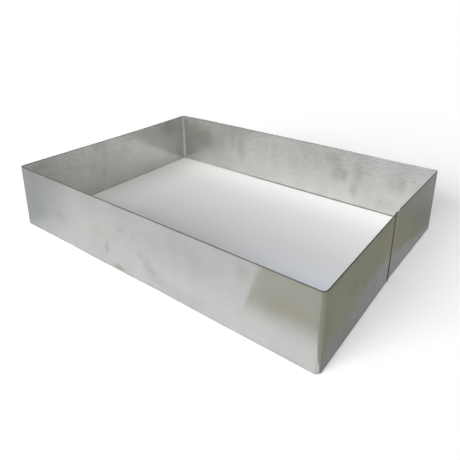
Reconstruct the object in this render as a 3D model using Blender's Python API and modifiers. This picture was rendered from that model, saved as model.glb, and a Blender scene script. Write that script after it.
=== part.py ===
"""Rectangular baking frame: one stainless steel strip, bent into a rectangle and butt-welded.

The frame is open at the top and the bottom. Its origin is the middle of the opening, at the
bottom edge. +X runs along the long walls, +Y to the back wall and +Z up. Lengths are in metres.
"""
import math

import bmesh
import bpy
from mathutils import Matrix, Vector

# Overall sizes, over the outer faces
LENGTH = 0.400
WIDTH = 0.300
HEIGHT = 0.075

# Strip
SHEET = 0.001
BEND_RADIUS = 0.005
BEND_SEGMENTS = 12
EDGE_BREAK = 0.00015

# Front wall, which springs slightly inward between its bends
FRONT_BOW = 0.0008
WALL_SEGMENTS = 16

# Seam in the right short wall: the weld has drawn the wall inward, and the front end stands proud
SEAM_FROM_FRONT = 0.1556
SEAM_DIP = 0.0017
SEAM_STEP = 0.0004

# Weld bead that fills the seam
BEAD_WIDTH = 0.0018
BEAD_CROWN = 0.0002
BEAD_CLEARANCE = 0.0003
BEAD_SIDES = 12
RIPPLE_PITCH = 0.0025
RIPPLE_DEPTH = 0.00006
RINGS_PER_RIPPLE = 3
POOL_HEIGHT = 0.0030
POOL_SWELL = 0.0003
CRATER_DEPTH = 0.0010

# Finish
STEEL_COLOUR = (0.60, 0.60, 0.58, 1.0)
STEEL_ROUGHNESS = 0.32
BEAD_COLOUR = (0.28, 0.27, 0.25, 1.0)
BEAD_ROUGHNESS = 0.50

RIGHT_ANGLE = math.pi / 2
FULL_TURN = 2 * math.pi


def clear_scene():
    for item in list(bpy.data.objects):
        bpy.data.objects.remove(item, do_unlink=True)


def new_collection(name):
    collection = bpy.data.collections.new(name)
    bpy.context.scene.collection.children.link(collection)
    return collection


def metal(name, colour, roughness):
    material = bpy.data.materials.new(name)
    material.use_nodes = True
    shader = material.node_tree.nodes["Principled BSDF"]
    shader.inputs["Base Color"].default_value = colour
    shader.inputs["Metallic"].default_value = 1.0
    shader.inputs["Roughness"].default_value = roughness
    return material


def inward(heading):
    """Unit vector to the left of a heading, which is the inside of the frame."""
    return Vector((-math.sin(heading), math.cos(heading)))


def bend_centre(side_x, side_y):
    """Centre of the bend at one corner; each side is +1 or -1."""
    return Vector((side_x * (LENGTH / 2 - BEND_RADIUS), side_y * (WIDTH / 2 - BEND_RADIUS)))


def bend_points(centre, first_heading, last_heading):
    """Outer face of a bend, as the strip turns from one heading to the next."""
    points = []
    for step in range(BEND_SEGMENTS + 1):
        heading = first_heading + (last_heading - first_heading) * step / BEND_SEGMENTS
        points.append(centre - inward(heading) * BEND_RADIUS)
    return points


def sight_angle(centre, point):
    """Direction from a bend's centre to a point, and the lead angle of the tangent through it."""
    offset = point - centre
    return math.atan2(offset.y, offset.x), math.asin(BEND_RADIUS / offset.length)


def heading_to(centre, point):
    """Heading on which the strip leaves a bend to run straight to a point."""
    angle, lead = sight_angle(centre, point)
    return angle + lead


def heading_from(centre, point):
    """Heading on which the strip runs straight from a point into a bend."""
    angle, lead = sight_angle(centre, point)
    return angle - lead + 2 * RIGHT_ANGLE


def seam_ends():
    """Outer face of the strip at its front end and at its back end, on either side of the bead."""
    seam_y = SEAM_FROM_FRONT - WIDTH / 2
    half_gap = BEAD_WIDTH / 2 + BEAD_CLEARANCE
    front_end = Vector((LENGTH / 2 - SEAM_DIP, seam_y - half_gap))
    back_end = Vector((LENGTH / 2 - SEAM_DIP - SEAM_STEP, seam_y + half_gap))
    return front_end, back_end


def front_wall_points():
    """Outer face of the front wall between its bends, drawn in by its bow."""
    start = bend_centre(-1, -1).x
    run = bend_centre(1, -1).x - start
    points = []
    for step in range(1, WALL_SEGMENTS):
        share = step / WALL_SEGMENTS
        depth = FRONT_BOW * math.sin(math.pi * share) ** 2
        points.append(Vector((start + run * share, depth - WIDTH / 2)))
    return points


def strip_path():
    """Outer face of the whole strip seen from above, from its back end round to its front end."""
    front_end, back_end = seam_ends()
    rear_heading = heading_from(bend_centre(1, 1), back_end)
    seam_heading = heading_to(bend_centre(1, -1), front_end)
    path = [back_end]
    path += bend_points(bend_centre(1, 1), rear_heading, 2 * RIGHT_ANGLE)
    path += bend_points(bend_centre(-1, 1), 2 * RIGHT_ANGLE, 3 * RIGHT_ANGLE)
    path += bend_points(bend_centre(-1, -1), 3 * RIGHT_ANGLE, 4 * RIGHT_ANGLE)
    path += front_wall_points()
    path += bend_points(bend_centre(1, -1), 0, seam_heading)
    return path + [front_end]


def raise_path(name, path, height):
    """Mesh of the upright face that stands on a path, facing out of the frame."""
    mesh = bpy.data.meshes.new(name)
    bm = bmesh.new()
    verts = [bm.verts.new((point.x, point.y, 0)) for point in path]
    edges = [bm.edges.new(pair) for pair in zip(verts, verts[1:])]
    raised = bmesh.ops.extrude_edge_only(bm, edges=edges)["geom"]
    top = [item for item in raised if isinstance(item, bmesh.types.BMVert)]
    bmesh.ops.translate(bm, verts=top, vec=(0, 0, height))
    bm.normal_update()
    bm.faces.ensure_lookup_table()
    first = (path[1] - path[0]).to_3d()
    if bm.faces[0].normal.dot(first.cross(Vector((0, 0, 1)))) < 0:
        bmesh.ops.reverse_faces(bm, faces=bm.faces)
    bm.to_mesh(mesh)
    bm.free()
    return mesh


def add_object(name, mesh, collection, material):
    mesh.materials.append(material)
    item = bpy.data.objects.new(name, mesh)
    collection.objects.link(item)
    return item


def build_strip(parts, material):
    """The strip at its full thickness, with its cut edges lightly broken."""
    strip = add_object("frame_band", raise_path("frame_band", strip_path(), HEIGHT), parts, material)
    thickness = strip.modifiers.new("sheet", "SOLIDIFY")
    thickness.thickness = SHEET
    thickness.offset = -1
    thickness.use_even_offset = True
    edges = strip.modifiers.new("edge_break", "BEVEL")
    edges.width = EDGE_BREAK
    edges.segments = 1
    edges.limit_method = "ANGLE"
    edges.angle_limit = RIGHT_ANGLE / 2
    return strip


def bead_half_depth(height):
    """Half of the bead's depth through the wall: a swollen first pool, then even ripples."""
    ripple = RIPPLE_DEPTH * math.cos(FULL_TURN * height / RIPPLE_PITCH)
    pool = POOL_SWELL * max(0, 1 - height / POOL_HEIGHT) ** 2
    return SHEET / 2 + BEAD_CROWN + ripple + pool


def bead_ring(bm, height, closed):
    """Edges of one oval section of the bead: X lies through the wall, Y along it."""
    place = Matrix.Translation((0, 0, height))
    ring = bmesh.ops.create_circle(
        bm, cap_ends=closed, segments=BEAD_SIDES, radius=1, matrix=place)["verts"]
    bmesh.ops.scale(bm, verts=ring, vec=(bead_half_depth(height), BEAD_WIDTH / 2, 1))
    return list({edge for vert in ring for edge in vert.link_edges})


def bead_mesh(name, height):
    """Bead from the bottom edge up to the crater below the rim."""
    mesh = bpy.data.meshes.new(name)
    bm = bmesh.new()
    count = round(height / RIPPLE_PITCH) * RINGS_PER_RIPPLE
    rings = []
    for index in range(count + 1):
        rings.append(bead_ring(bm, height * index / count, closed=index in (0, count)))
    for lower, upper in zip(rings, rings[1:]):
        bmesh.ops.bridge_loops(bm, edges=lower + upper)
    bmesh.ops.recalc_face_normals(bm, faces=bm.faces)
    bm.to_mesh(mesh)
    bm.free()
    return mesh


def build_bead(parts, material):
    """The weld bead, standing midway between the two ends of the strip."""
    front_end, back_end = seam_ends()
    middle = (front_end + back_end) / 2 - Vector((SHEET / 2, 0))
    bead = add_object("seam_weld", bead_mesh("seam_weld", HEIGHT - CRATER_DEPTH), parts, material)
    bead.location = middle.to_3d()
    return bead


def main():
    clear_scene()
    parts = new_collection("rectangular_baking_frame")
    build_strip(parts, metal("brushed_steel", STEEL_COLOUR, STEEL_ROUGHNESS))
    build_bead(parts, metal("weld_steel", BEAD_COLOUR, BEAD_ROUGHNESS))


main()
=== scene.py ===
import math

import bmesh
import bpy
from mathutils import Matrix, Vector


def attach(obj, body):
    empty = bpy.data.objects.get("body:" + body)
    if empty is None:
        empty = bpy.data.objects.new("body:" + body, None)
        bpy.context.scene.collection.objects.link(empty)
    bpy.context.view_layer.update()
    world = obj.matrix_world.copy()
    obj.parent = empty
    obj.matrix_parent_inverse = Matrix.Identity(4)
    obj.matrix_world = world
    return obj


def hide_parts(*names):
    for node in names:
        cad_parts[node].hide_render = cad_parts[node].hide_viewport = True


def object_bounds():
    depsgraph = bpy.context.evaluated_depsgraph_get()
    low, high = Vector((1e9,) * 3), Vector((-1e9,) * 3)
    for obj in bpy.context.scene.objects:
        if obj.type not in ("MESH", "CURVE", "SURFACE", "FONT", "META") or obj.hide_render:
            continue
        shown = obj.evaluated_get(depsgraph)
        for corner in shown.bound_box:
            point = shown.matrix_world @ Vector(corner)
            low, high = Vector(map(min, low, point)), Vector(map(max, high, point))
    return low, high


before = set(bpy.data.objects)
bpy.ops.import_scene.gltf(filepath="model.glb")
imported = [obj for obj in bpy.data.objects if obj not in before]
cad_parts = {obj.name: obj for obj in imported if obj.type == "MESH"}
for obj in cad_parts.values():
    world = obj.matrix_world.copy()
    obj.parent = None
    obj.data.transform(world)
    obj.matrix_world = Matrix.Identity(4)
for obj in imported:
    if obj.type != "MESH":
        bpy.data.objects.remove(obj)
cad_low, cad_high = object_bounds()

# Lengths are in metres and angles in degrees. X runs along the long walls, Y to the back wall
# and Z up. A name that stands for a ramp holds where it starts and ends, and after these its
# first and last value if they aren't 0 and 1.

# Frame
LENGTH = cad_high.x - cad_low.x
WIDTH = cad_high.y - cad_low.y
HEIGHT = cad_high.z - cad_low.z
SHEET = 0.001
BEND_RADIUS = 0.005
BEND_SEGMENTS = 16
PANEL = 0.010
ROW = 0.0125
CLOSE = 1e-5
FACING = 0.5

# Broken edges and shading
EDGE_BREAK = 0.0002
EDGE_SEGMENTS = 2
EDGE_ANGLE = 50
SMOOTH_ANGLE = 15
CUT_EDGE_FACING = 0.25

# Slow waves of the walls
WAVE_DEPTH = 0.0008
WAVE_RUN = 0.2
WAVE_FADE = 0.8
FRONT_PHASE = 0.4
BACK_PHASE = 2.6
LEFT_PHASE = 4.4
SLOW_ALONG, SLOW_UP, SLOW_PHASE, SLOW_SHARE = 7.0, 11.0, 1.7, 0.36
QUICK_ALONG, QUICK_UP, QUICK_PHASE, QUICK_SHARE = 19.0, 9.0, 2.3, 0.14

# Inward lean of the left wall: its foot is waved less, and its rim leans more towards the back
LEFT_FOOT_SHARE = 0.2
LEFT_LEAN = 0.0018
LEFT_LEAN_SKEW = 0.6

# Lean of the front left foot, and of the back left corner's rim
FRONT_LEAN = 0.0022
FRONT_LEAN_REACH = 0.120
BACK_LEAN = 0.003
BACK_LEAN_REACH = 0.060
BACK_LEAN_FADE = 1.5

# Seam in the right short wall
SEAM_Y = 0.0056
SEAM_DIP = 0.0017
SEAM_STEP = 0.0004

# Weld bead
BEAD_WIDTH = 0.0018
BEAD_CROWN = 0.0002
BEAD_LAP = 0.0002
BEAD_SIDES = 16
BEAD_SMOOTH_ANGLE = 60
CRATER_DEPTH = 0.0010
RIPPLE = 0.0024
RINGS_PER_RIPPLE = 6
RIPPLE_SHARE = 0.14
POOL_HEIGHT = 0.003
POOL_SHARE = 0.5
HALF_GAP = BEAD_WIDTH / 2 - BEAD_LAP

# Camera
CAMERA_PLACE = (0.312401, -0.422885, 0.282600)
CAMERA_TURN = 38.629
CAMERA_DOWN = 19.009
CAMERA_ROLL = -0.099
CAMERA_LENS = 37.0
CAMERA_SHIFT = (0.0439, -0.1802)
SENSOR_WIDTH = 36

# Light: soft room light and a wide low key from the front
WHITE = (1, 1, 1, 1)
AMBIENT = 0.40
KEY_STRENGTH = 4.4
KEY_ANGLE = 40
KEY_FROM = (-0.22, -0.89, 0.33)

# Steel: colours of the sheet and the tints that darken it, some of them painted shade
STEEL_PALE = (0.672, 0.677, 0.665, 1)
STEEL_DEEP = (0.59, 0.595, 0.583, 1)
DRIFT_TINT = (0.955, 0.96, 0.965, 1)
GRAIN_TINT = (0.55, 0.55, 0.55, 1)
INNER_TINT = (1, 0.988, 0.973, 1)
STRAIN_TINT = (0.86, 0.86, 0.85, 1)
STAIN_AND_SHADE_TINT = (0.50, 0.50, 0.44, 1)
WARM_TINT = (0.92, 0.82, 0.60, 1)
WORN_TINT = (0.62, 0.62, 0.60, 1)
STRAW_TINT = (0.96, 0.94, 0.88, 1)
SCORCH_AND_SHADE_TINT = (0.06, 0.06, 0.061, 1)
SCORCH_AND_SHADE_SHINE = (0.25, 0.25, 0.25, 1)
SHADE_LINE_TINT = (0.30, 0.30, 0.29, 1)
BRUSHED_COLOUR = (0.80, 0.81, 0.81, 1)
STAIN_AND_SHADE_STRENGTH = 0.55
WARM_STRENGTH = 0.45
WORN_STRENGTH = 0.35
STEEL_METAL = 0.78
BRUSHED_METAL = 0.58

# Steel: patterns per metre along each axis, and their depths as relief
CLOUD_SCALE = (16, 16, 22)
DRIFT_SCALE = (48, 48, 16)
GRAIN_SCALE = (105, 105, 560)
FINE_SCALE = (180, 180, 1200)
STRAIN_SCALE = (800, 800, 6)
RAGGED_SCALE = (70, 70, 70)
RAGGED_REACH = 0.007
CLOUD_DEPTH = 0.00012
GRAIN_DEPTH = 0.000008
FINE_DEPTH = 0.000002
DRIFT_STEP = (0.35, 0.68)
GRAIN_STEP = (0.38, 0.62)
STRAIN_STEP = (0.42, 0.62)
MARK_FADE = (1.2, 0.2)

# Steel: how strongly the rolling grain shows
OUTER_GRAIN = 0.06
INNER_GRAIN = 0.155
SEAM_WALL_GRAIN = 0.02
SEAM_WALL = (LENGTH / 2 - 0.006, LENGTH / 2 - 0.002)
GRAIN_RISE = (0.020, HEIGHT, 0.30, 1)
GRAIN_PATCHES = (0.3, 0.65, 0.6, 1.2)

# Steel: roughness, and what each feature adds to it
STEEL_ROUGHNESS = 0.075
CLOUD_ROUGHNESS = 0.06
GRAIN_ROUGHNESS = 0.03
INNER_ROUGHNESS = 0.09
STAIN_AND_SHADE_ROUGHNESS = 0.03
WORN_ROUGHNESS = 0.04
SCORCH_AND_SHADE_ROUGHNESS = 0.25

# Steel: wear along the edges and bends, and painted shade lines under the rim and along the back
# wall's inner foot
STRAIN_FROM = 1.3 * BEND_RADIUS
STRAIN_TO = 0.6 * BEND_RADIUS
WORN_FOOT = (0.005, 0.0)
WORN_RIM = (HEIGHT - 0.003, HEIGHT)
WORN_PATCHES = (0.3, 0.6)
RIM_SHADE_LINE = (HEIGHT - 0.0009, HEIGHT - 0.0004, 0, 0.6)
FOOT_SHADE_LINE = (0.0021, 0.0007)
FOOT_SHADE_LINE_BACK = (WIDTH / 2 - 0.012, WIDTH / 2 - 0.004)
FOOT_SHADE_LINE_ALONG = (-0.11, -0.04)
BRIGHT_BACK = (WIDTH / 2 - 0.004, WIDTH / 2 - 0.002)
BRIGHT_ALONG = (0.02, 0.16)

# Steel: round the seam
# The dark line beside the weld is partly heat scorch and partly painted shade of the seam's groove
SCORCH_AND_SHADE_REACH = (0.0034, 0.0010)
SCORCH_AND_SHADE_FLARE = (HEIGHT, 0, 0, 0.0008)
STRAW = (0.012, 0.003)
WANDER = 0.0012
BRUSHED_Y = SEAM_Y + 0.0062
BRUSHED = (0.0024, 0.0010)
BRUSHED_RISE = (0.020, 0.062, 0.35, 0.85)
BRIGHT_Y = SEAM_Y + 0.0085
BRIGHT = (0.0048, 0.0022, 0, 0.9)

# Cut edge
EDGE_DARK = (0.035, 0.035, 0.033, 1)
EDGE_MID = (0.085, 0.085, 0.080, 1)
EDGE_WORN = (0.13, 0.13, 0.125, 1)
EDGE_BRIGHT = (0.40, 0.40, 0.39, 1)
SHEAR_SCALE = (900, 900, 200)
SHEAR_DEPTH = 0.00003
SHEAR_ROUGHNESS = (0.2, 0.8, 0.42, 0.58)
EDGE_DRIFT_SCALE = (40, 40, 40)
EDGE_PATCHES = (0.45, 0.75, 0, 0.5)

# Weld metal: its dark tones are partly scorch and partly painted shade of the seam's groove
WELD_DARK = (0.022, 0.021, 0.019, 1)
WELD_MID = (0.070, 0.068, 0.060, 1)
WELD_CREST = (0.17, 0.165, 0.15, 1)
WELD_BLUE = (0.055, 0.058, 0.072, 1)
WELD_SHINE = (0.3, 0.3, 0.3, 1)
SKIN_SCALE = (1400, 1400, 700)
SKIN_DEPTH = 0.00006
SKIN_ROUGHNESS = (0.2, 0.8, 0.36, 0.55)
BAND_SCALE = (60, 60, 420)
BAND_STEP = (0.45, 0.75, 0, 0.5)
CREST_STEP = (-0.2, 1.0, 0, 0.7)

# Floor, and how far it is lifted towards white where it is seen. Inside the frame the darker paint
# is painted shade, and the uneven lift with its warm and cool tints is painted light
FLOOR_COLOUR = (0.85, 0.85, 0.85, 1)
FLOOR_PAINTED_SHADE_INSIDE = (0.775, 0.775, 0.775, 1)
FLOOR_DOWN = -0.0002
FLOOR_DOWN_INSIDE = -0.0001
FLOOR_SIZE = 4
FLOOR_LIFT = 0.26
PAINTED_LIGHT_RIGHT = (-0.05, 0.2, 0.02, 0.08)
PAINTED_LIGHT_LEFT = (-0.08, -0.19, 0, 0.07)
PAINTED_LIGHT_BACK = (0.07, 0.135, 0, 0.07)
PAINTED_LIGHT_FRONT = (0.015, -0.05)
PAINTED_LIGHT_FRONT_ALONG = (-0.02, 0.16, 0.03, 0.11)
PAINTED_LIGHT_WARM = (1.03, 1.0, 0.93, 1)
PAINTED_LIGHT_WARM_ALONG = (-0.04, -0.18)
PAINTED_LIGHT_COOL = (0.84, 0.98, 1.24, 1)
PAINTED_LIGHT_COOL_FRONT = (0.12, -0.10)
PAINTED_LIGHT_COOL_ALONG = (-0.08, 0.12)

# Painted reflections: a flat glowing ring on the floor, round the frame, that only the steel
# mirrors
GROUND_UP = 0.0003
GROUND_SIZE = 2
INNER_INSET = 0.0009

# Painted reflection of the ground in front, to the left and behind: pale, with a cool left end and
# a warm right end
GROUND_NEAR = (0.65, 0.65, 0.645, 1)
GROUND_FAR = (0.475, 0.475, 0.47, 1)
NEAR_REACH = (-0.27, -0.15)
GROUND_COOL = (0.205, 0.24, 0.235, 1)
GROUND_COOL_FAR = (0.205, 0.21, 0.21, 1)
COOL_SLANT = 1.25
COOL_REACH = (-0.095, -0.205)
COOL_GAIN = (-0.15, -0.180, 0.60, 1)
COOL_FAR_REACH = (-0.18, -0.24)
GROUND_TEAL = (0.19, 0.245, 0.235, 1)
GROUND_LEFT = (0.22, 0.22, 0.22, 1)
LEFT_REACH = (-0.18, -0.22)
TEAL_REACH = (-0.20, -0.16)
LEFT_BACK_REACH = (-0.13, -0.09)
GROUND_BACK = (0.50, 0.50, 0.495, 1)
BACK_REACH = (-0.06, 0.12)
GROUND_WARM = (0.227, 0.225, 0.136, 1)
WARM_LINE = ((0.1157, -0.165), (0.0866, -0.240))
WARM_EDGE = (-0.0012, 0.0012)
WARM_REACH = (-0.169, -0.206)

# Painted reflection of the ground to the right, past the side line: painted shadow close to the
# wall, then olive, and grey behind
SIDE_LINE = (-0.146, -0.150, 0.1965, 0.2075)
SIDE_LINE_EDGE = (0, 0.001)
GROUND_SHADE = (0.30, 0.30, 0.295, 1)
GROUND_SHADE_FRONT = (0.25, 0.25, 0.243, 1)
SHADE_REACH = (-0.10, 0.03)
GROUND_OLIVE = (0.234, 0.233, 0.164, 1)
OLIVE_X = 0.212
OLIVE_LINE = (0.03, 0.16, OLIVE_X, OLIVE_X - 0.009)
OLIVE_LINE_FRONT = (-0.02, -0.06, 0, 0.004)
OLIVE_LINE_CORNER = (-0.152, -0.165, 0, 0.012)
OLIVE_EDGE = (-0.0007, 0.0007)
OLIVE_REACH = (0.30, 0.15, 0.3, 1)
GROUND_GREY = (0.228, 0.230, 0.201, 1)
GREY_SLANT = 1.2
GREY_REACH = (0.128, 0.172)
GROUND_CLOUD_SCALE = (9, 9, 9)
GROUND_CLOUD_STEP = (0.35, 0.65)
GROUND_CLOUD_TINT = (0.90, 0.90, 0.915, 1)
# Painted reflection: darker and yellower ground where the front right bend mirrors it
CORNER_TINT = (0.80, 0.80, 0.58, 1)
CORNER_REACH = (-0.150, -0.158)


def long_wall_marks(wall_y, rows):
    """Marks on a long wall; each row has x, z, half width, half height and strength."""
    return [((x, wall_y, z), (wide, MARK_DEPTH, high), strength)
            for x, z, wide, high, strength in rows]


def short_wall_marks(wall_x, rows):
    """Marks on a short wall; each row has y, z, half width, half height and strength."""
    return [((wall_x, y, z), (MARK_DEPTH, wide, high), strength)
            for y, z, wide, high, strength in rows]


# Handling marks on the walls; inside, those close to the back left corner are partly painted shade
# and painted reflections
MARK_DEPTH = 0.02
FRONT_Y = -WIDTH / 2
BACK_Y = WIDTH / 2 - SHEET
LEFT_X = SHEET - LENGTH / 2
RIGHT_X = LENGTH / 2 - SHEET
INNER_STAINS_AND_SHADE = long_wall_marks(BACK_Y, [
    (0.086, 0.040, 0.006, 0.014, 0.85), (0.070, 0.058, 0.014, 0.012, 0.55),
    (0.104, 0.046, 0.009, 0.022, 0.62), (0.101, 0.022, 0.008, 0.013, 0.68),
    (0.160, 0.046, 0.008, 0.018, 0.58), (0.046, 0.050, 0.010, 0.016, 0.32),
    (0.077, 0.042, 0.013, 0.017, 0.55), (0.150, 0.045, 0.014, 0.018, 0.36),
    (0.137, 0.016, 0.004, 0.005, 0.55), (0.142, 0.011, 0.022, 0.012, 0.38),
    (0.010, 0.045, 0.012, 0.016, 0.22), (-0.060, 0.010, 0.050, 0.016, 0.34),
    (-0.082, 0.034, 0.012, 0.030, 0.62), (-0.100, 0.045, 0.006, 0.020, 0.45),
    (-0.105, 0.010, 0.060, 0.026, 0.42), (-0.113, 0.003, 0.026, 0.006, 0.6),
    (-0.150, 0.030, 0.065, 0.045, 0.32), (-0.157, 0.044, 0.030, 0.022, 0.95),
    (-0.165, 0.026, 0.006, 0.016, 0.35), (-0.170, 0.050, 0.030, 0.020, 0.68),
    (-0.180, 0.024, 0.004, 0.018, 0.50),
]) + short_wall_marks(LEFT_X, [
    (0.131, 0.026, 0.005, 0.018, 0.35), (0.114, 0.022, 0.007, 0.012, 0.25),
    (0.104, 0.063, 0.022, 0.014, 0.36), (0.030, 0.066, 0.040, 0.006, 0.35),
    (0.014, 0.051, 0.020, 0.014, 0.30), (-0.021, 0.054, 0.010, 0.006, 0.30),
    (-0.025, 0.029, 0.009, 0.009, 0.38), (-0.030, 0.070, 0.018, 0.008, 0.50),
    (-0.045, 0.041, 0.009, 0.008, 0.30), (-0.060, 0.047, 0.018, 0.004, 0.30),
    (-0.122, 0.069, 0.016, 0.008, 0.50),
])
INNER_WARM = long_wall_marks(BACK_Y, [
    (0.136, 0.018, 0.015, 0.014, 0.35), (0.070, 0.056, 0.016, 0.014, 0.4),
    (-0.155, 0.058, 0.014, 0.012, 0.5),
]) + short_wall_marks(LEFT_X, [
    (-0.039, 0.007, 0.012, 0.006, 0.9), (-0.120, 0.064, 0.020, 0.008, 0.7),
])
OUTER_STAINS = long_wall_marks(FRONT_Y, [
    (-0.127, 0.032, 0.012, 0.007, 0.35), (-0.044, 0.020, 0.004, 0.010, 0.6),
    (-0.027, 0.004, 0.013, 0.005, 0.9), (-0.021, 0.050, 0.004, 0.004, 0.35),
    (0.006, 0.032, 0.006, 0.008, 0.4), (0.014, 0.025, 0.008, 0.010, 0.4),
    (0.021, 0.018, 0.009, 0.005, 0.6), (0.030, 0.012, 0.018, 0.005, 0.3),
    (0.050, 0.048, 0.064, 0.022, 0.24), (0.051, 0.048, 0.004, 0.018, 0.25),
    (0.062, 0.008, 0.034, 0.010, 0.28), (0.081, 0.010, 0.016, 0.008, 0.25),
    (0.128, 0.062, 0.009, 0.010, 0.35), (0.155, 0.040, 0.012, 0.014, 0.25),
]) + long_wall_marks(BACK_Y, [
    (-0.110, 0.050, 0.012, 0.014, 0.40), (-0.030, 0.056, 0.020, 0.006, 0.30),
    (0.040, 0.020, 0.016, 0.008, 0.45), (0.130, 0.045, 0.010, 0.016, 0.35),
]) + short_wall_marks(LEFT_X, [
    (-0.100, 0.018, 0.016, 0.006, 0.30), (-0.030, 0.055, 0.014, 0.007, 0.35),
    (0.060, 0.030, 0.012, 0.010, 0.40),
]) + short_wall_marks(RIGHT_X, [
    (-0.092, 0.046, 0.014, 0.010, 0.25), (-0.040, 0.018, 0.012, 0.006, 0.30),
    (0.080, 0.030, 0.010, 0.016, 0.25),
])
OUTER_WARM = long_wall_marks(FRONT_Y, [
    (-0.060, 0.036, 0.010, 0.007, 0.6), (0.172, 0.046, 0.024, 0.012, 0.5),
])


def deselect_all():
    if bpy.context.mode != "OBJECT":
        bpy.ops.object.mode_set(mode="OBJECT")
    bpy.ops.object.select_all(action="DESELECT")


def pick(kind, test):
    """Selects the faces or the edges of the mesh in edit mode that pass a test."""
    mesh = bpy.context.edit_object.data
    bpy.ops.mesh.select_mode(type=kind)
    bpy.ops.mesh.select_all(action="DESELECT")
    bm = bmesh.from_edit_mesh(mesh)
    for item in bm.faces if kind == "FACE" else bm.edges:
        item.select_set(test(item))
    bmesh.update_edit_mesh(mesh)


def cut_all(axis, places):
    """Cuts the whole mesh at each place along an axis."""
    normal = [0, 0, 0]
    normal[axis] = 1
    for place in places:
        point = [0, 0, 0]
        point[axis] = place
        bpy.ops.mesh.select_all(action="SELECT")
        bpy.ops.mesh.bisect(plane_co=point, plane_no=normal)


def spaced(low, high, gap):
    """Places between two ends, about one gap apart, without the ends."""
    count = max(1, round((high - low) / gap))
    return [low + (high - low) * step / count for step in range(1, count)]


def close(value, place):
    return abs(value - place) < CLOSE


def make_strip():
    """The bent sheet: an open box ring, parted at the seam, bent at its corners and thickened."""
    deselect_all()
    bpy.ops.mesh.primitive_cube_add(
        size=1, location=(0, 0, HEIGHT / 2), scale=(LENGTH, WIDTH, HEIGHT))
    strip = bpy.context.active_object
    strip.name = "steel_strip"
    bpy.ops.object.transform_apply(location=True, rotation=True, scale=True)
    bpy.ops.object.mode_set(mode="EDIT")
    pick("FACE", lambda face: abs(face.normal.z) > FACING)
    bpy.ops.mesh.delete(type="FACE")
    part_seam()
    bend_corners()
    cut_panels()
    bpy.ops.object.mode_set(mode="OBJECT")
    wave_walls(strip.data)
    lean_corners(strip.data)
    finish_sheet(strip)
    return strip


def part_seam():
    """Opens the right wall at the seam. The back end is drawn a step further in than the front."""
    for place in (SEAM_Y - HALF_GAP, SEAM_Y + HALF_GAP):
        pick("FACE", lambda face: face.normal.x > FACING)
        bpy.ops.mesh.bisect(plane_co=(0, place, 0), plane_no=(0, 1, 0))
    pick("FACE", lambda face: face.normal.x > FACING
         and abs(face.calc_center_median().y - SEAM_Y) < HALF_GAP)
    bpy.ops.mesh.delete(type="FACE")
    mesh = bpy.context.edit_object.data
    bm = bmesh.from_edit_mesh(mesh)
    for vert in bm.verts:
        if vert.co.x > 0 and abs(vert.co.y - SEAM_Y) < 2 * HALF_GAP:
            vert.co.x -= SEAM_DIP if vert.co.y < SEAM_Y else SEAM_DIP + SEAM_STEP
    bmesh.update_edit_mesh(mesh)


def bend_corners():
    """Rounds the four upright edges."""
    pick("EDGE", lambda edge: all(
        close(abs(vert.co.x), LENGTH / 2) and close(abs(vert.co.y), WIDTH / 2)
        for vert in edge.verts))
    bpy.ops.mesh.bevel(offset=BEND_RADIUS, segments=BEND_SEGMENTS, affect="EDGES")


def cut_panels():
    """Cuts the straight walls into panels, so that they can be waved."""
    straight_x = LENGTH / 2 - BEND_RADIUS
    straight_y = WIDTH / 2 - BEND_RADIUS
    cut_all(0, spaced(-straight_x, straight_x, PANEL))
    cut_all(1, [y for y in spaced(-straight_y, straight_y, PANEL)
                if abs(y - SEAM_Y) > 2 * HALF_GAP])
    cut_all(2, spaced(0, HEIGHT, ROW))


def wave(run, height, phase):
    """Depth of the sheet's slow waves at one place, from 0 to 1."""
    slow = math.sin(SLOW_ALONG * run + phase) * math.cos(SLOW_UP * height + SLOW_PHASE * phase)
    quick = math.sin(QUICK_ALONG * run - QUICK_PHASE * phase + QUICK_UP * height)
    return 0.5 + SLOW_SHARE * slow + QUICK_SHARE * quick


def wall_fade(along, length):
    """1 in the middle of a wall of some length, and 0 at its bends."""
    share = (along + length / 2 - BEND_RADIUS) / (length - 2 * BEND_RADIUS)
    return math.sin(math.pi * min(1, max(0, share))) ** WAVE_FADE


def wave_walls(mesh):
    """Draws the front, back and left walls inward in slow waves, and leans the left one."""
    for vert in mesh.vertices:
        x, y, z = vert.co
        if close(abs(y), WIDTH / 2):
            phase = FRONT_PHASE if y < 0 else BACK_PHASE
            depth = WAVE_DEPTH * wall_fade(x, LENGTH) * wave(x / WAVE_RUN, z, phase)
            vert.co.y -= math.copysign(depth, y)
        elif close(x, -LENGTH / 2):
            fade = wall_fade(y, WIDTH)
            wave_share = LEFT_FOOT_SHARE + (1 - LEFT_FOOT_SHARE) * z / HEIGHT
            vert.co.x += WAVE_DEPTH * fade * wave(y / WAVE_RUN, z, LEFT_PHASE) * wave_share
            vert.co.x += LEFT_LEAN * fade * (1 + LEFT_LEAN_SKEW * y / (WIDTH / 2)) * z / HEIGHT


def nearness(away_x, away_y, reach):
    """1 at a corner, falling to 0 at some reach from it along each wall."""
    return max(0, 1 - away_x / reach) * max(0, 1 - away_y / reach)


def lean_corners(mesh):
    """Draws the foot of the front left corner and the rim of the back left corner inward."""
    for vert in mesh.vertices:
        x, y, z = vert.co
        front = nearness(x + LENGTH / 2, y + WIDTH / 2, FRONT_LEAN_REACH)
        back = nearness(x + LENGTH / 2, WIDTH / 2 - y, BACK_LEAN_REACH)
        vert.co.x += FRONT_LEAN * front * (1 - z / HEIGHT)
        vert.co.y -= BACK_LEAN * back ** BACK_LEAN_FADE * z / HEIGHT


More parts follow.
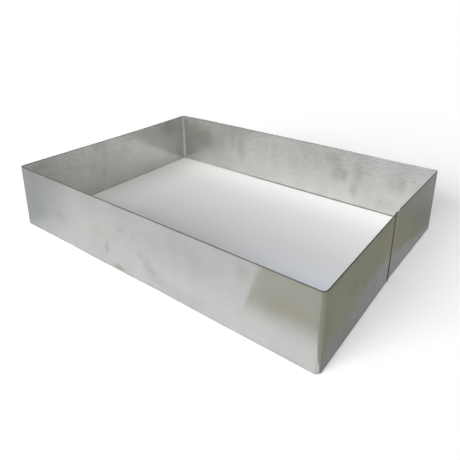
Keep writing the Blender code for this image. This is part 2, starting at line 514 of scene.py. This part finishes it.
def finish_sheet(strip):
    """Thickness, broken edges and smooth shading. The cut edges stay level."""
    sheet = strip.modifiers.new("sheet", "SOLIDIFY")
    sheet.thickness = SHEET
    sheet.offset = -1
    sheet.use_even_offset = True
    bpy.ops.object.modifier_apply(modifier="sheet")
    for vert in strip.data.vertices:
        vert.co.z = min(max(vert.co.z, 0), HEIGHT)
    edges = strip.modifiers.new("edge_break", "BEVEL")
    edges.width = EDGE_BREAK
    edges.segments = EDGE_SEGMENTS
    edges.limit_method = "ANGLE"
    edges.angle_limit = math.radians(EDGE_ANGLE)
    bpy.ops.object.modifier_apply(modifier="edge_break")
    bpy.ops.object.shade_smooth_by_angle(angle=math.radians(SMOOTH_ANGLE))


def make_bead():
    """The weld bead: an oval rod that ends below the rim, cut into rings and rippled."""
    deselect_all()
    top = HEIGHT - CRATER_DEPTH
    x = LENGTH / 2 - SEAM_DIP - SEAM_STEP / 2 - SHEET / 2
    bpy.ops.mesh.primitive_cylinder_add(
        vertices=BEAD_SIDES, radius=1, depth=top, location=(x, SEAM_Y, top / 2))
    bead = bpy.context.active_object
    bead.name = "weld_bead"
    bead.scale = (SHEET / 2 + BEAD_CROWN, BEAD_WIDTH / 2, 1)
    bpy.ops.object.transform_apply(location=True, rotation=True, scale=True)
    bpy.ops.object.mode_set(mode="EDIT")
    cut_all(2, spaced(0, top, RIPPLE / RINGS_PER_RIPPLE))
    bpy.ops.object.mode_set(mode="OBJECT")
    for vert in bead.data.vertices:
        ripple = RIPPLE_SHARE * math.cos(math.tau * vert.co.z / RIPPLE)
        pool = POOL_SHARE * max(0, 1 - vert.co.z / POOL_HEIGHT) ** 2
        vert.co.x = x + (vert.co.x - x) * (1 + ripple + pool)
    bpy.ops.object.shade_smooth_by_angle(angle=math.radians(BEAD_SMOOTH_ANGLE))
    return bead


def new_material(name):
    material = bpy.data.materials.new(name)
    material.use_nodes = True
    return material, material.node_tree


def plug(tree, socket, value):
    """Feeds a socket from another socket, or sets it to a plain value."""
    if isinstance(value, bpy.types.NodeSocket):
        tree.links.new(value, socket)
    else:
        socket.default_value = value


def math_node(tree, operation, *values):
    """One calculation with sockets and numbers."""
    node = tree.nodes.new("ShaderNodeMath")
    node.operation = operation
    for socket, value in zip(node.inputs, values):
        plug(tree, socket, value)
    return node.outputs[0]


def times(tree, first, second):
    return math_node(tree, "MULTIPLY", first, second)


def plus(tree, first, second):
    return math_node(tree, "ADD", first, second)


def minus(tree, first, second):
    return math_node(tree, "SUBTRACT", first, second)


def larger(tree, first, second):
    return math_node(tree, "MAXIMUM", first, second)


def distance(tree, value, place):
    return math_node(tree, "ABSOLUTE", minus(tree, value, place))


def ramp(tree, value, low, high, to_low=0.0, to_high=1.0):
    """A soft step of a value from one number to another."""
    step = tree.nodes.new("ShaderNodeMapRange")
    step.interpolation_type = "SMOOTHSTEP"
    plug(tree, step.inputs["Value"], value)
    step.inputs["From Min"].default_value = low
    step.inputs["From Max"].default_value = high
    step.inputs["To Min"].default_value = to_low
    step.inputs["To Max"].default_value = to_high
    return step.outputs[0]


# Where a Mix node has its share, its two colours and the colour that comes out
MIX_SHARE = 0
MIX_FIRST = 6
MIX_SECOND = 7
MIX_RESULT = 2


def mixed(tree, share, first, second, blend="MIX"):
    """Two colours mixed by a share."""
    node = tree.nodes.new("ShaderNodeMix")
    node.data_type = "RGBA"
    node.blend_type = blend
    plug(tree, node.inputs[MIX_SHARE], share)
    plug(tree, node.inputs[MIX_FIRST], first)
    plug(tree, node.inputs[MIX_SECOND], second)
    return node.outputs[MIX_RESULT]


def tinted(tree, share, colour, tint):
    """A colour darkened by a share of a tint."""
    return mixed(tree, share, colour, tint, "MULTIPLY")


def object_place(tree):
    return tree.nodes.new("ShaderNodeTexCoord").outputs["Object"]


def axes_of(tree, place):
    """The three numbers of a place."""
    split = tree.nodes.new("ShaderNodeSeparateXYZ")
    tree.links.new(place, split.inputs[0])
    return split.outputs[:]


def noise(tree, place, scale, detail=2, colour=False):
    """Cloudy pattern with its own scale along each axis, per metre. Detail adds finer clouds."""
    stretch = tree.nodes.new("ShaderNodeMapping")
    stretch.inputs["Scale"].default_value = scale
    tree.links.new(place, stretch.inputs["Vector"])
    cloud = tree.nodes.new("ShaderNodeTexNoise")
    cloud.inputs["Scale"].default_value = 1
    cloud.inputs["Detail"].default_value = detail
    tree.links.new(stretch.outputs[0], cloud.inputs["Vector"])
    return cloud.outputs["Color" if colour else "Fac"]


def bump(tree, height, depth, under=None):
    """Surface relief of a given depth in metres."""
    node = tree.nodes.new("ShaderNodeBump")
    node.inputs["Strength"].default_value = 1
    node.inputs["Distance"].default_value = depth
    tree.links.new(height, node.inputs["Height"])
    if under is not None:
        tree.links.new(under, node.inputs["Normal"])
    return node.outputs[0]


def ragged_place(tree, place):
    """The place pushed about by a cloudy pattern, for marks without clean outlines."""
    push = tree.nodes.new("ShaderNodeVectorMath")
    push.operation = "MULTIPLY_ADD"
    tree.links.new(noise(tree, place, RAGGED_SCALE, detail=3, colour=True), push.inputs[0])
    push.inputs[1].default_value = (RAGGED_REACH,) * 3
    tree.links.new(place, push.inputs[2])
    shift = tree.nodes.new("ShaderNodeVectorMath")
    shift.operation = "SUBTRACT"
    tree.links.new(push.outputs[0], shift.inputs[0])
    shift.inputs[1].default_value = (RAGGED_REACH / 2,) * 3
    return shift.outputs[0]


def mark(tree, place, centre, size):
    """A soft oval mark: 1 near its centre, 0 from its rim on."""
    oval = tree.nodes.new("ShaderNodeMapping")
    oval.vector_type = "TEXTURE"
    oval.inputs["Location"].default_value = centre
    oval.inputs["Scale"].default_value = size
    tree.links.new(place, oval.inputs["Vector"])
    reach = tree.nodes.new("ShaderNodeVectorMath")
    reach.operation = "LENGTH"
    tree.links.new(oval.outputs[0], reach.inputs[0])
    return ramp(tree, reach.outputs["Value"], *MARK_FADE)


def marks_on(tree, place, marks):
    """The strongest of a list of marks at each place, each with its own strength."""
    total = 0.0
    for centre, size, strength in marks:
        total = larger(tree, total, times(tree, mark(tree, place, centre, size), strength))
    return total


def face_marks(tree, place, inner, inner_marks, outer_marks):
    """Marks on the inner faces of the walls, and others on their outer faces."""
    on_inner = times(tree, marks_on(tree, place, inner_marks), inner)
    on_outer = times(tree, marks_on(tree, place, outer_marks), minus(tree, 1.0, inner))
    return larger(tree, on_inner, on_outer)


def steel_material():
    """Rolled satin stainless, with rolling grain, handling marks and the tints of the seam, and
    painted shade under the rim, at the back wall's foot, beside the weld and near the back left
    inner corner.
    """
    material, tree = new_material("satin_stainless")
    shader = tree.nodes["Principled BSDF"]
    place = object_place(tree)
    x, y, z = axes_of(tree, place)
    sides = tree.nodes.new("ShaderNodeAttribute")
    sides.attribute_name = "inner_face"
    inner = sides.outputs["Fac"]
    cloud = noise(tree, place, CLOUD_SCALE, detail=4)
    drift = noise(tree, place, DRIFT_SCALE, detail=4)
    grain = ramp(tree, noise(tree, place, GRAIN_SCALE, detail=3), *GRAIN_STEP)
    fine = ramp(tree, noise(tree, place, FINE_SCALE, detail=3), *GRAIN_STEP)
    ragged = ragged_place(tree, place)
    # Handling marks, and inside near the back left corner partly painted shade and painted
    # reflections
    stain_and_shade = face_marks(tree, ragged, inner, INNER_STAINS_AND_SHADE, OUTER_STAINS)
    warm = face_marks(tree, ragged, inner, INNER_WARM, OUTER_WARM)
    worn = edge_wear(tree, z, drift)
    scorch_and_shade, straw = seam_heat_and_shade(tree, x, y, z, drift)
    brushed = brushed_line(tree, x, y, z, drift)

    colour = mixed(tree, cloud, STEEL_DEEP, STEEL_PALE)
    grain_share = grain_strength(tree, x, z, inner, drift)
    for share, tint in (
            (ramp(tree, drift, *DRIFT_STEP), DRIFT_TINT),
            (times(tree, grain, grain_share), GRAIN_TINT),
            (times(tree, fine, grain_share), GRAIN_TINT),
            (inner, INNER_TINT),
            (strain_lines(tree, place, x, y), STRAIN_TINT),
            (times(tree, stain_and_shade, STAIN_AND_SHADE_STRENGTH), STAIN_AND_SHADE_TINT),
            (times(tree, warm, WARM_STRENGTH), WARM_TINT),
            (times(tree, worn, WORN_STRENGTH), WORN_TINT),
            (straw, STRAW_TINT),
            (scorch_and_shade, SCORCH_AND_SHADE_TINT)):
        colour = tinted(tree, share, colour, tint)
    colour = mixed(tree, brushed, colour, BRUSHED_COLOUR)
    # Painted shade lines under the rim and along the back wall's inner foot
    colour = tinted(tree, painted_shade_lines(tree, x, y, z, inner), colour, SHADE_LINE_TINT)
    plug(tree, shader.inputs["Base Color"], colour)
    plug(tree, shader.inputs["Metallic"], ramp(tree, brushed, 0, 1, STEEL_METAL, BRUSHED_METAL))
    plug(tree, shader.inputs["Specular Tint"], mixed(tree, scorch_and_shade, WHITE, SCORCH_AND_SHADE_SHINE))

    rough = math_node(tree, "MULTIPLY_ADD", cloud, CLOUD_ROUGHNESS, STEEL_ROUGHNESS)
    for share, extra in (
            (grain, GRAIN_ROUGHNESS), (inner, INNER_ROUGHNESS), (stain_and_shade, STAIN_AND_SHADE_ROUGHNESS),
            (worn, WORN_ROUGHNESS), (scorch_and_shade, SCORCH_AND_SHADE_ROUGHNESS)):
        rough = plus(tree, rough, times(tree, share, extra))
    plug(tree, shader.inputs["Roughness"], rough)

    relief = None
    for pattern, depth in ((cloud, CLOUD_DEPTH), (grain, GRAIN_DEPTH), (fine, FINE_DEPTH)):
        relief = bump(tree, pattern, depth, relief)
    plug(tree, shader.inputs["Normal"], relief)
    return material


def grain_strength(tree, x, z, inner, drift):
    """How strongly the rolling grain shows: most high up inside, least on the seam's wall."""
    rubbed = times(tree, ramp(tree, z, *GRAIN_RISE), inner)
    rubbed = times(tree, rubbed, ramp(tree, drift, *GRAIN_PATCHES))
    outer = ramp(tree, x, *SEAM_WALL, OUTER_GRAIN, SEAM_WALL_GRAIN)
    return math_node(tree, "MULTIPLY_ADD", rubbed, INNER_GRAIN, outer)


def strain_lines(tree, place, x, y):
    """Fine upright lines where the sheet was bent."""
    near_x, near_y = [
        ramp(tree, math_node(tree, "ABSOLUTE", value), limit - STRAIN_FROM, limit - STRAIN_TO)
        for value, limit in ((x, LENGTH / 2), (y, WIDTH / 2))]
    lines = ramp(tree, noise(tree, place, STRAIN_SCALE), *STRAIN_STEP)
    return times(tree, times(tree, near_x, near_y), lines)


def edge_wear(tree, z, drift):
    """Rubbed band along the foot and under the rim, broken up along its length."""
    band = larger(tree, ramp(tree, z, *WORN_FOOT), ramp(tree, z, *WORN_RIM))
    return times(tree, band, ramp(tree, drift, *WORN_PATCHES))


def right_end(tree, x):
    """1 at the right end of the frame, where the seam is, and 0 in the rest of it."""
    return math_node(tree, "GREATER_THAN", x, LENGTH / 4)


def rubbed_bright(tree, x, y):
    """Where the rim is rubbed bright: the right end of the back wall, and behind the weld."""
    at_back = times(tree, ramp(tree, y, *BRIGHT_BACK), ramp(tree, x, *BRIGHT_ALONG))
    by_weld = times(tree, ramp(tree, distance(tree, y, BRIGHT_Y), *BRIGHT), right_end(tree, x))
    return larger(tree, at_back, by_weld)


def painted_shade_lines(tree, x, y, z, inner):
    """Painted shade: a dark thread under the rim, and inside along the back wall's foot where it
    meets the floor.
    """
    rim = times(tree, ramp(tree, z, *RIM_SHADE_LINE), minus(tree, 1.0, rubbed_bright(tree, x, y)))
    foot = times(tree, ramp(tree, z, *FOOT_SHADE_LINE), inner)
    foot = times(tree, foot, ramp(tree, y, *FOOT_SHADE_LINE_BACK))
    foot = times(tree, foot, ramp(tree, x, *FOOT_SHADE_LINE_ALONG))
    return larger(tree, rim, foot)


def seam_heat_and_shade(tree, x, y, z, drift):
    """Dark line close beside the weld, partly heat scorch and partly painted shade of the seam's
    groove, widening at the foot, and the wider straw tint round it.
    """
    away = plus(tree, distance(tree, y, SEAM_Y), times(tree, drift, WANDER))
    away = minus(tree, away, ramp(tree, z, *SCORCH_AND_SHADE_FLARE))
    at_seam = right_end(tree, x)
    return [times(tree, ramp(tree, away, *reach), at_seam) for reach in (SCORCH_AND_SHADE_REACH, STRAW)]


def brushed_line(tree, x, y, z, drift):
    """Pale line behind the weld, where the brushing stopped; clearest under the rim."""
    away = plus(tree, distance(tree, y, BRUSHED_Y), times(tree, drift, WANDER))
    line = times(tree, ramp(tree, away, *BRUSHED), ramp(tree, z, *BRUSHED_RISE))
    return times(tree, line, right_end(tree, x))


def edge_material():
    """Sheared edge of the sheet, darker and rougher than its faces, with the shear's fine lines."""
    material, tree = new_material("cut_edge")
    shader = tree.nodes["Principled BSDF"]
    place = object_place(tree)
    x, y, _ = axes_of(tree, place)
    shear = noise(tree, place, SHEAR_SCALE)
    drift = noise(tree, place, EDGE_DRIFT_SCALE, detail=3)
    colour = mixed(tree, shear, EDGE_DARK, EDGE_MID)
    colour = mixed(tree, ramp(tree, drift, *EDGE_PATCHES), colour, EDGE_WORN)
    colour = mixed(tree, rubbed_bright(tree, x, y), colour, EDGE_BRIGHT)
    plug(tree, shader.inputs["Base Color"], colour)
    plug(tree, shader.inputs["Metallic"], 1)
    plug(tree, shader.inputs["Roughness"], ramp(tree, shear, *SHEAR_ROUGHNESS))
    plug(tree, shader.inputs["Normal"], bump(tree, shear, SHEAR_DEPTH))
    return material


def weld_material():
    """Dark weld metal with a scaly skin; its darkness is partly scorch and partly painted shade of
    the seam's groove.
    """
    material, tree = new_material("weld_metal")
    shader = tree.nodes["Principled BSDF"]
    place = object_place(tree)
    z = axes_of(tree, place)[2]
    skin = noise(tree, place, SKIN_SCALE, detail=3)
    bands = noise(tree, place, BAND_SCALE)
    crest = math_node(tree, "COSINE", times(tree, z, math.tau / RIPPLE))
    colour = mixed(tree, skin, WELD_DARK, WELD_MID)
    colour = mixed(tree, ramp(tree, crest, *CREST_STEP), colour, WELD_CREST)
    colour = mixed(tree, ramp(tree, bands, *BAND_STEP), colour, WELD_BLUE)
    plug(tree, shader.inputs["Base Color"], colour)
    plug(tree, shader.inputs["Metallic"], 1)
    plug(tree, shader.inputs["Specular Tint"], WELD_SHINE)
    plug(tree, shader.inputs["Roughness"], ramp(tree, skin, *SKIN_ROUGHNESS))
    plug(tree, shader.inputs["Normal"], bump(tree, skin, SKIN_DEPTH))
    return material


def stage_material(name):
    """A material without its first shader, for what stands round the frame."""
    material, tree = new_material(name)
    tree.nodes.remove(tree.nodes["Principled BSDF"])
    return material, tree


def glow(tree, colour, strength=1.0):
    node = tree.nodes.new("ShaderNodeEmission")
    plug(tree, node.inputs["Color"], colour)
    plug(tree, node.inputs["Strength"], strength)
    return node.outputs[0]


def set_surface(tree, shader):
    tree.links.new(shader, tree.nodes["Material Output"].inputs["Surface"])


def seen_directly(tree):
    """1 for camera, glossy and transmission rays, and 0 for the rays that carry light."""
    path = tree.nodes.new("ShaderNodeLightPath")
    seen = larger(tree, path.outputs["Is Camera Ray"], path.outputs["Is Glossy Ray"])
    return larger(tree, seen, path.outputs["Is Transmission Ray"])


def paint_floor(tree, colour, lift, tint):
    """Plain matt paint, lifted towards white where it is seen."""
    paint = tree.nodes.new("ShaderNodeBsdfDiffuse")
    paint.inputs["Color"].default_value = colour
    both = tree.nodes.new("ShaderNodeAddShader")
    tree.links.new(paint.outputs[0], both.inputs[0])
    tree.links.new(glow(tree, tint, times(tree, seen_directly(tree), lift)), both.inputs[1])
    set_surface(tree, both.outputs[0])


def white_floor():
    material, tree = stage_material("white_floor")
    paint_floor(tree, FLOOR_COLOUR, FLOOR_LIFT, WHITE)
    return material


def painted_light_and_shade_floor():
    """Floor inside the frame, in darker paint that is painted shade; its uneven glow is painted
    light, stronger to the left, right, back and front right, warmer to the left and cooler to the
    front right.
    """
    material, tree = stage_material("painted_light_and_shade_floor")
    x, y, _ = axes_of(tree, object_place(tree))
    lift = plus(tree, ramp(tree, x, *PAINTED_LIGHT_RIGHT), ramp(tree, x, *PAINTED_LIGHT_LEFT))
    lift = plus(tree, lift, ramp(tree, y, *PAINTED_LIGHT_BACK))
    front = times(tree, ramp(tree, y, *PAINTED_LIGHT_FRONT), ramp(tree, x, *PAINTED_LIGHT_FRONT_ALONG))
    lift = plus(tree, lift, front)
    cool = times(tree, ramp(tree, y, *PAINTED_LIGHT_COOL_FRONT), ramp(tree, x, *PAINTED_LIGHT_COOL_ALONG))
    tint = mixed(tree, ramp(tree, x, *PAINTED_LIGHT_WARM_ALONG), WHITE, PAINTED_LIGHT_WARM)
    paint_floor(tree, FLOOR_PAINTED_SHADE_INSIDE, lift, mixed(tree, cool, tint, PAINTED_LIGHT_COOL))
    return material


def front_tone(tree, x, y):
    """Painted reflection of the ground in front of the frame, and on round its left end to its
    back.
    """
    (x1, y1), (x2, y2) = WARM_LINE
    along = times(tree, minus(tree, y, y1), (x2 - x1) / (y2 - y1))
    beyond = minus(tree, minus(tree, x, x1), along)
    warm = times(tree, ramp(tree, beyond, *WARM_EDGE), ramp(tree, y, *WARM_REACH))
    ahead = larger(tree, minus(tree, -WIDTH / 2, y), 0.0)
    cool = ramp(tree, plus(tree, x, times(tree, ahead, COOL_SLANT)), *COOL_REACH)
    cool = times(tree, cool, ramp(tree, y, *COOL_GAIN))
    left = ramp(tree, x, *LEFT_REACH)
    tone = mixed(tree, ramp(tree, y, *NEAR_REACH), GROUND_FAR, GROUND_NEAR)
    cool_tone = mixed(tree, ramp(tree, y, *COOL_FAR_REACH), GROUND_COOL, GROUND_COOL_FAR)
    tone = mixed(tree, cool, tone, cool_tone)
    tone = mixed(tree, times(tree, left, ramp(tree, y, *TEAL_REACH)), tone, GROUND_TEAL)
    tone = mixed(tree, times(tree, left, ramp(tree, y, *LEFT_BACK_REACH)), tone, GROUND_LEFT)
    tone = mixed(tree, ramp(tree, y, *BACK_REACH), tone, GROUND_BACK)
    return mixed(tree, warm, tone, GROUND_WARM)


def side_tone(tree, place, x, y):
    """Painted reflection of the ground beside the wall with the seam."""
    line = ramp(tree, y, *OLIVE_LINE)
    line = minus(tree, line, ramp(tree, y, *OLIVE_LINE_FRONT))
    line = minus(tree, line, ramp(tree, y, *OLIVE_LINE_CORNER))
    olive = ramp(tree, minus(tree, x, line), *OLIVE_EDGE)
    olive = times(tree, olive, ramp(tree, y, *OLIVE_REACH))
    grey = plus(tree, times(tree, x, -GREY_SLANT), GREY_SLANT * OLIVE_X)
    grey = ramp(tree, plus(tree, y, grey), *GREY_REACH)
    # Painted shadow of the frame on the ground close to the wall
    shade = mixed(tree, ramp(tree, y, *SHADE_REACH), GROUND_SHADE_FRONT, GROUND_SHADE)
    tone = mixed(tree, olive, shade, mixed(tree, grey, GROUND_OLIVE, GROUND_GREY))
    clouds = ramp(tree, noise(tree, place, GROUND_CLOUD_SCALE), *GROUND_CLOUD_STEP)
    tone = tinted(tree, clouds, tone, GROUND_CLOUD_TINT)
    # Painted reflection: darker and yellower where the front right bend mirrors the ground
    return tinted(tree, ramp(tree, y, *CORNER_REACH), tone, CORNER_TINT)


def painted_reflection_material():
    """Glowing tones that paint the steel's reflections of the ground, parted by the side line,
    which passes the front right corner.
    """
    material, tree = stage_material("painted_reflection_ground")
    place = object_place(tree)
    x, y, _ = axes_of(tree, place)
    past_line = minus(tree, x, ramp(tree, y, *SIDE_LINE))
    beside = ramp(tree, past_line, *SIDE_LINE_EDGE)
    tone = mixed(tree, beside, front_tone(tree, x, y), side_tone(tree, place, x, y))
    set_surface(tree, glow(tree, tone))
    return material


def wall_line(inset):
    """Corners of the line inside the sheet, seen from above, with the dip at the seam."""
    x, y = LENGTH / 2 - inset, WIDTH / 2 - inset
    return [(-x, -y), (x, -y), (x - SEAM_DIP - SEAM_STEP / 2, SEAM_Y), (x, y), (-x, y)]


def far_line(size):
    """Corners of a large rectangle, with as many corners as the line inside the sheet."""
    return [(-size, -size), (size, -size), (size, 0), (size, size), (-size, size)]


def stage_mesh(name, height, corners, holes, material):
    """A flat stage piece: a face, or the ring between two lines of corners."""
    mesh = bpy.data.meshes.new(name)
    bm = bmesh.new()
    outer = [bm.verts.new((x, y, height)) for x, y in corners]
    if holes:
        inner = [bm.verts.new((x, y, height)) for x, y in holes]
        for side in range(len(outer)):
            after = (side + 1) % len(outer)
            bm.faces.new((inner[side], outer[side], outer[after], inner[after]))
    else:
        bm.faces.new(outer)
    bm.to_mesh(mesh)
    bm.free()
    piece = bpy.data.objects.new(name, mesh)
    bpy.context.scene.collection.objects.link(piece)
    mesh.materials.append(material)
    return piece


def make_floor():
    """White floor, with a patch inside the frame that carries painted shade and painted light."""
    stage_mesh("floor", FLOOR_DOWN, far_line(FLOOR_SIZE), None, white_floor())
    stage_mesh("floor_inside", FLOOR_DOWN_INSIDE, wall_line(INNER_INSET), None, painted_light_and_shade_floor())


def make_painted_reflections():
    """The glowing ring round the frame, which only the steel mirrors: painted reflections of the
    ground.
    """
    ground = stage_mesh(
        "ground", GROUND_UP, far_line(GROUND_SIZE), wall_line(INNER_INSET), painted_reflection_material())
    ground.visible_camera = False
    ground.visible_diffuse = False
    ground.visible_shadow = False


def make_world():
    """Even white room light, full where it is seen and weaker where it lights."""
    world = bpy.data.worlds.new("studio")
    bpy.context.scene.world = world
    world.use_nodes = True
    tree = world.node_tree
    background = tree.nodes["Background"]
    background.inputs["Color"].default_value = WHITE
    plug(tree, background.inputs["Strength"], ramp(tree, seen_directly(tree), 0, 1, AMBIENT, 1))


def make_key():
    data = bpy.data.lights.new("key", "SUN")
    data.energy = KEY_STRENGTH
    data.angle = math.radians(KEY_ANGLE)
    key = bpy.data.objects.new("key", data)
    bpy.context.scene.collection.objects.link(key)
    key.rotation_euler = Vector(KEY_FROM).to_track_quat("Z", "Y").to_euler()


def make_camera():
    data = bpy.data.cameras.new("camera")
    camera = bpy.data.objects.new("camera", data)
    bpy.context.scene.collection.objects.link(camera)
    data.sensor_width = SENSOR_WIDTH
    data.lens = CAMERA_LENS
    data.shift_x, data.shift_y = CAMERA_SHIFT
    turn = Matrix.Rotation(math.radians(CAMERA_TURN), 4, "Z")
    tilt = Matrix.Rotation(math.radians(90 - CAMERA_DOWN), 4, "X")
    roll = Matrix.Rotation(math.radians(CAMERA_ROLL), 4, "Z")
    camera.matrix_world = Matrix.Translation(CAMERA_PLACE) @ turn @ tilt @ roll
    bpy.context.scene.camera = camera


def mark_faces(mesh):
    """Gives the cut edges their own material, and tells inner faces from outer ones."""
    sides = mesh.attributes.new("inner_face", "FLOAT", "FACE")
    for face in mesh.polygons:
        if abs(face.normal.z) > CUT_EDGE_FACING:
            face.material_index = 1
        outward = face.normal.x * face.center.x + face.normal.y * face.center.y
        sides.data[face.index].value = 0 if outward > 0 else 1


def dress():
    strip = make_strip()
    strip.data.materials.append(steel_material())
    strip.data.materials.append(edge_material())
    mark_faces(strip.data)
    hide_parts("frame_band")
    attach(strip, "root")
    bead = make_bead()
    bead.data.materials.append(weld_material())
    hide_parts("seam_weld")
    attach(bead, "root")


bpy.context.scene.view_settings.view_transform = "Standard"
make_camera()
make_world()
make_key()
make_floor()
make_painted_reflections()
dress()
